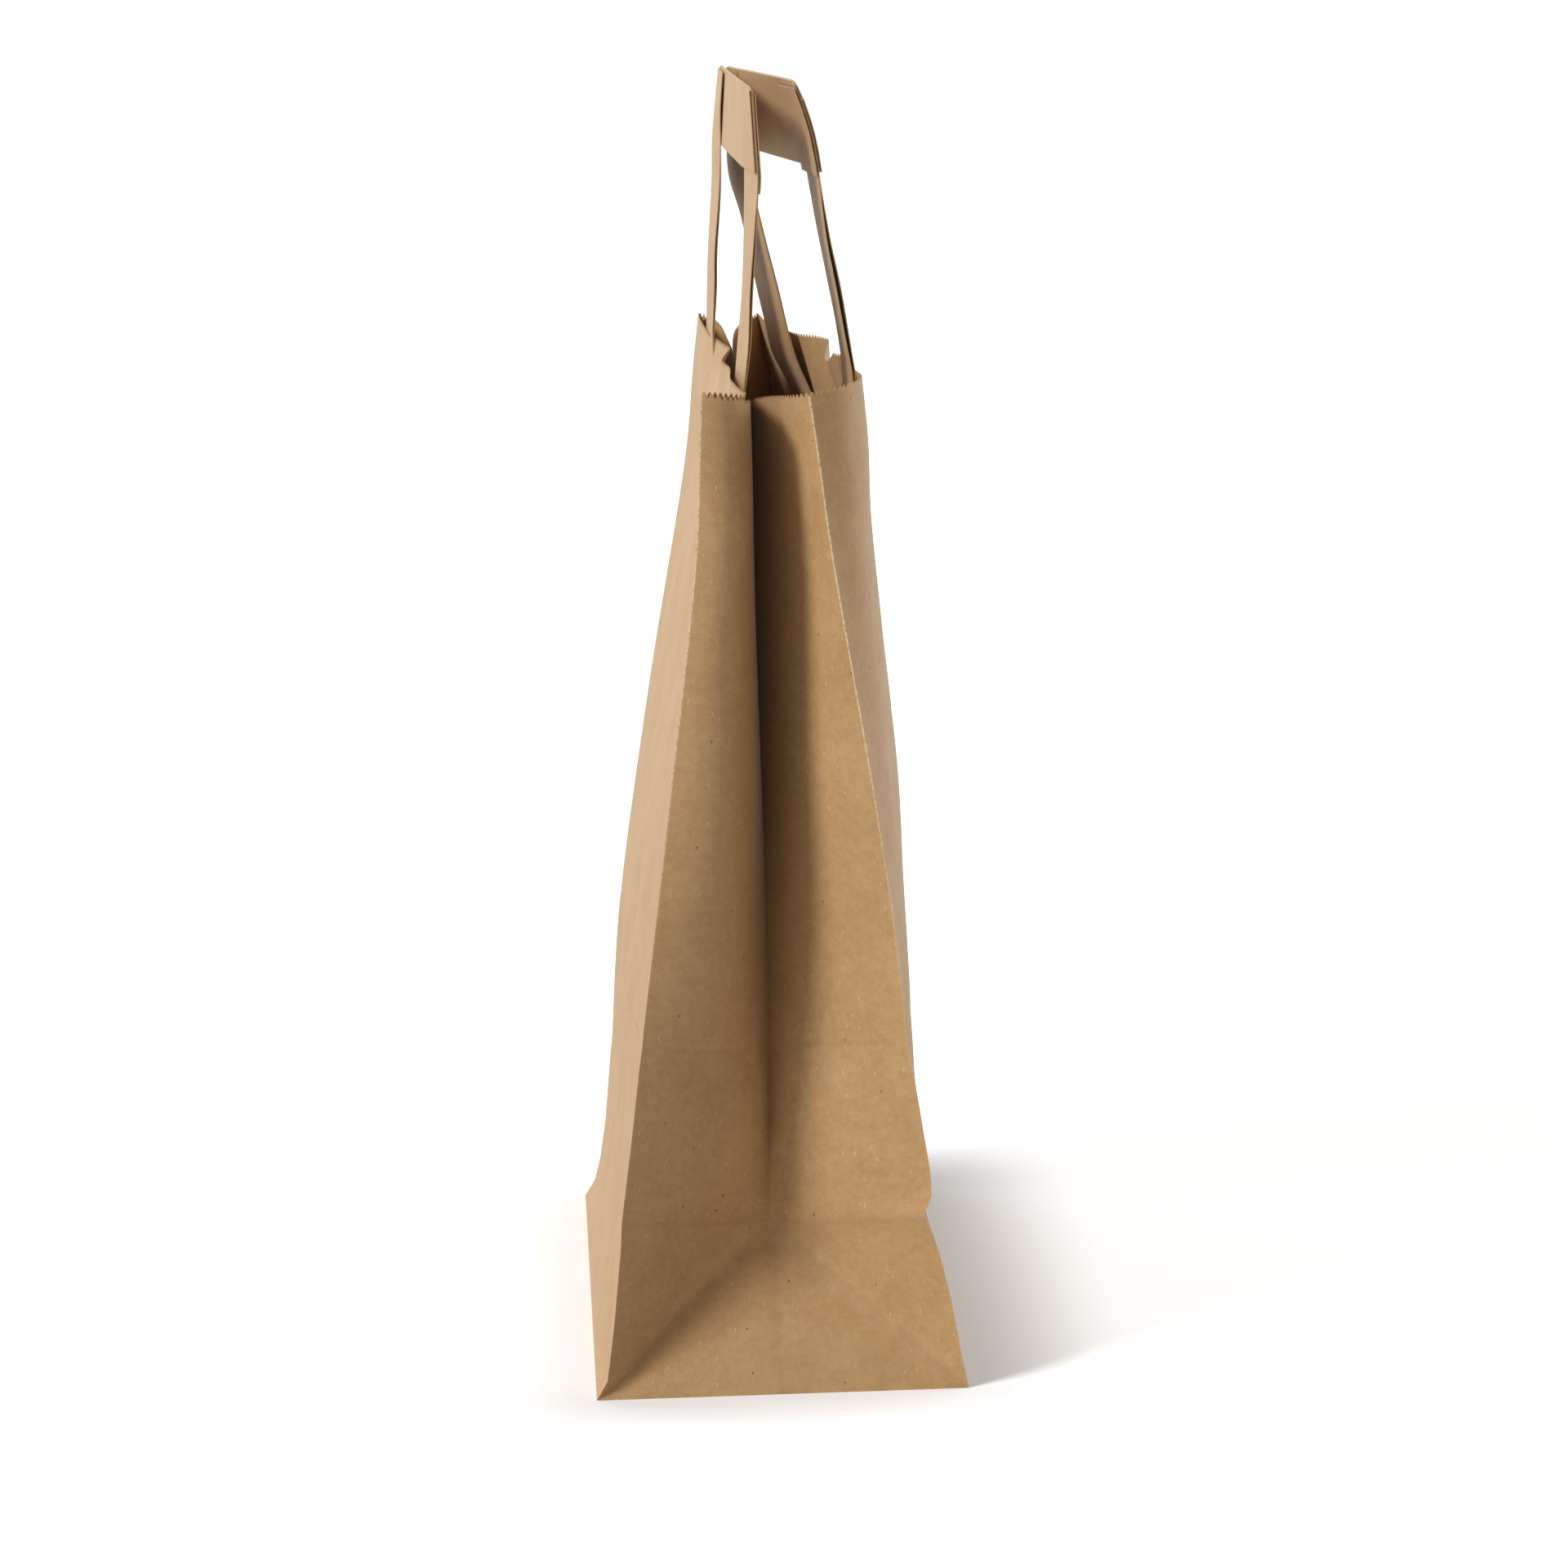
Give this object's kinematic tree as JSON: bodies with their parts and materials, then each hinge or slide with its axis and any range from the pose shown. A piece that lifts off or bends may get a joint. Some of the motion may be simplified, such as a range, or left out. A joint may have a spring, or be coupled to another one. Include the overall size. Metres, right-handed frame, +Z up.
{
  "type": "paper carrier bag",
  "caption": "Brown kraft paper carrier bag standing open on its block bottom, with side gussets folded inward at the neck, a toothed rim and two flat folded paper handles.",
  "frame": {"origin": "middle of the flat base, on the surface the bag stands on", "axes": "+Z up towards the handles, +X from the left wide panel to the right one, +Y from the near gusset to the far one"},
  "size_m": [0.165, 0.3201, 0.5723],
  "materials": {
    "kraft_sheet": "uncoated brown kraft, matt, with fine fibres and small dark specks",
    "kraft_strip": "uncoated brown kraft, folded in layers, matt"
  },
  "bodies": {
    "root": {"bag_body": "kraft_sheet", "left_handle": "kraft_strip", "right_handle": "kraft_strip"}
  },
  "joints": []
}
